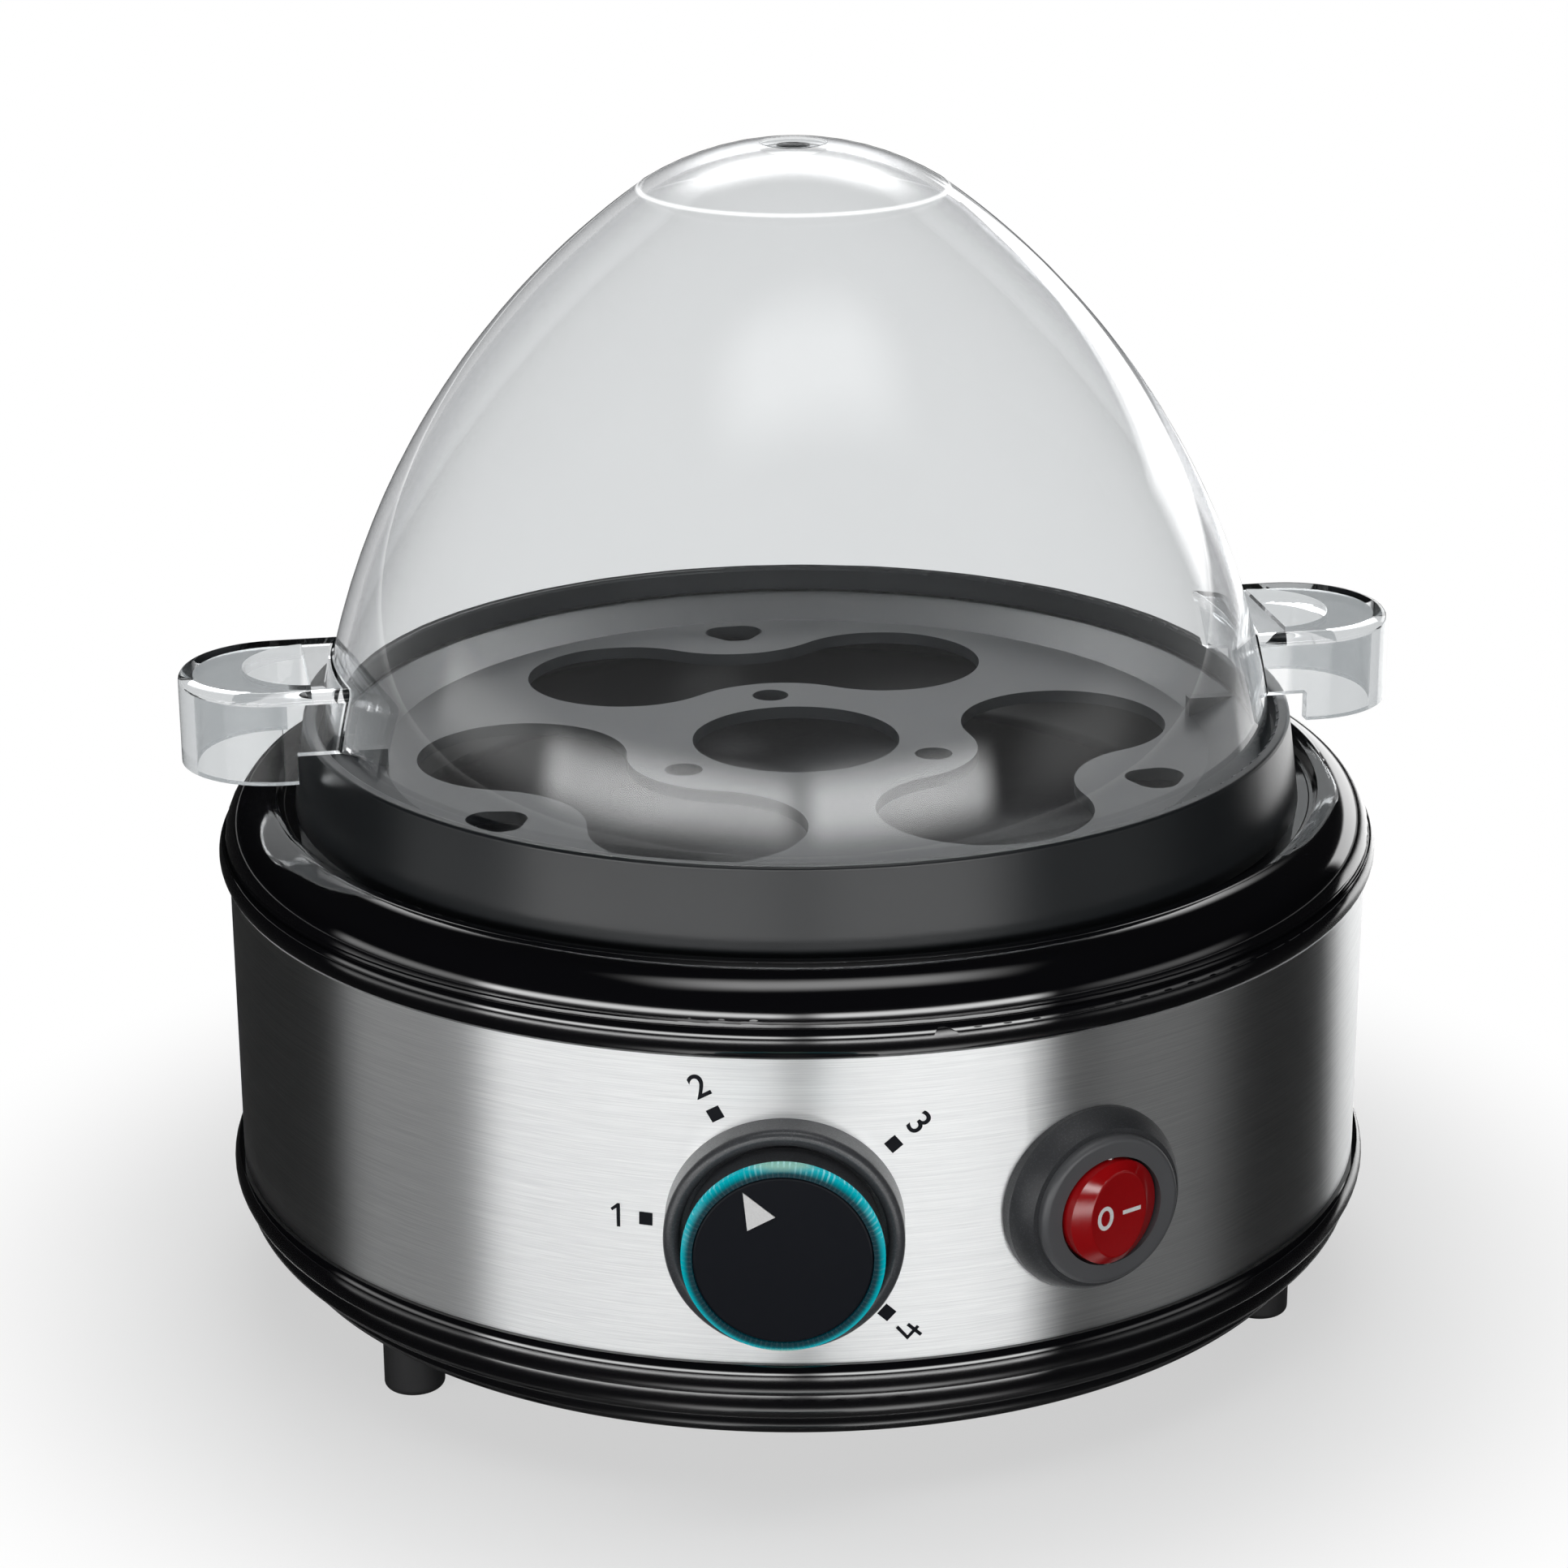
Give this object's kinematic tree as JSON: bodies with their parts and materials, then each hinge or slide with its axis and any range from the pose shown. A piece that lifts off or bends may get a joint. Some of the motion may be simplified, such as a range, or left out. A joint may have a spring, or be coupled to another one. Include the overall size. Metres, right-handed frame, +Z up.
{
  "type": "electric egg cooker",
  "caption": "Round electric egg cooker: black base with a steel band, cooking-time dial and rocker switch, lift-out egg tray and clear domed lid with finger loops.",
  "frame": {"origin": "on the upright axis, at table level under the feet", "axes": "+Z up, -Y to the front with the dial and the switch, +X to the right as seen from the front"},
  "size_m": [0.196, 0.2062, 0.1856],
  "materials": {
    "band_steel": "fine level brushing, bright",
    "housing_black": "gloss",
    "foot_rubber": "matt",
    "plain_steel": "zinc plated",
    "seal_rubber": "matt silicone",
    "bowl_coat": "satin non-stick coat",
    "spreader_aluminium": "as cast",
    "element_steel": "heat-tinted",
    "limiter_plastic": "matt",
    "blade_brass": "plain",
    "bezel_grey": "satin metallic paint",
    "inner_plastic": "matt",
    "lamp_board": "satin",
    "knob_grey": "satin",
    "ring_teal": "lit, translucent",
    "knob_black": "matt",
    "pointer_white": "satin",
    "collar_grey": "matt",
    "switch_grey": "satin",
    "rocker_red": "gloss, translucent",
    "gland_black": "satin",
    "lead_rubber": "silicone sleeve",
    "tray_grey": "satin gloss",
    "lid_clear": "clear, polished"
  },
  "bodies": {
    "base": {"steel_band": "band_steel", "base_pan": "housing_black", "upper_housing": "housing_black", "feet": "foot_rubber", "base_screws": "plain_steel", "bowl_seal": "seal_rubber", "heating_bowl": "bowl_coat", "heat_spreader": "spreader_aluminium", "heating_element": "element_steel", "element_pins": "plain_steel", "bowl_stud": "plain_steel", "clamp_bar": "plain_steel", "clamp_nut": "plain_steel", "thermostat": "limiter_plastic", "thermostat_blades": "blade_brass", "thermal_fuse": "plain_steel", "fuse_strap": "plain_steel", "knob_bezel": "bezel_grey", "control_saddle": "inner_plastic", "control_unit": "inner_plastic", "control_blades": "blade_brass", "control_nut": "plain_steel", "ring_lamp": "lamp_board", "switch_collar": "collar_grey", "switch_body": "switch_grey", "switch_blades": "blade_brass", "cord_gland": "gland_black", "gland_nut": "gland_black", "terminal_block": "inner_plastic", "inner_leads": "lead_rubber"},
    "knob": {"control_shaft": "plain_steel", "knob_body": "knob_grey", "knob_light_ring": "ring_teal", "knob_cap": "knob_black", "knob_pointer": "pointer_white"},
    "rocker": {"switch_rocker": "rocker_red", "rocker_pin": "plain_steel"},
    "tray": {"egg_tray": "tray_grey"},
    "lid": {"lid": "lid_clear"}
  },
  "joints": [
    {"name": "tray_lift", "type": "slide", "parent": "base", "child": "tray", "axis": [0, 0, 1], "range_m": [0, 0.08]},
    {"name": "lid_lift", "type": "slide", "parent": "tray", "child": "lid", "axis": [0, 0, 1], "range_m": [0, 0.12]},
    {"name": "knob_turn", "type": "hinge", "parent": "base", "child": "knob", "pos_m": [-0.01855, -0.0896, 0.0455], "axis": [0.2028, 0.9792, 0], "range_deg": [-56, 159]},
    {"name": "rocker_tilt", "type": "hinge", "parent": "base", "child": "rocker", "pos_m": [0.02867, -0.09204, 0.0455], "axis": [0, 0, 1], "range_deg": [-18, 0]}
  ]
}
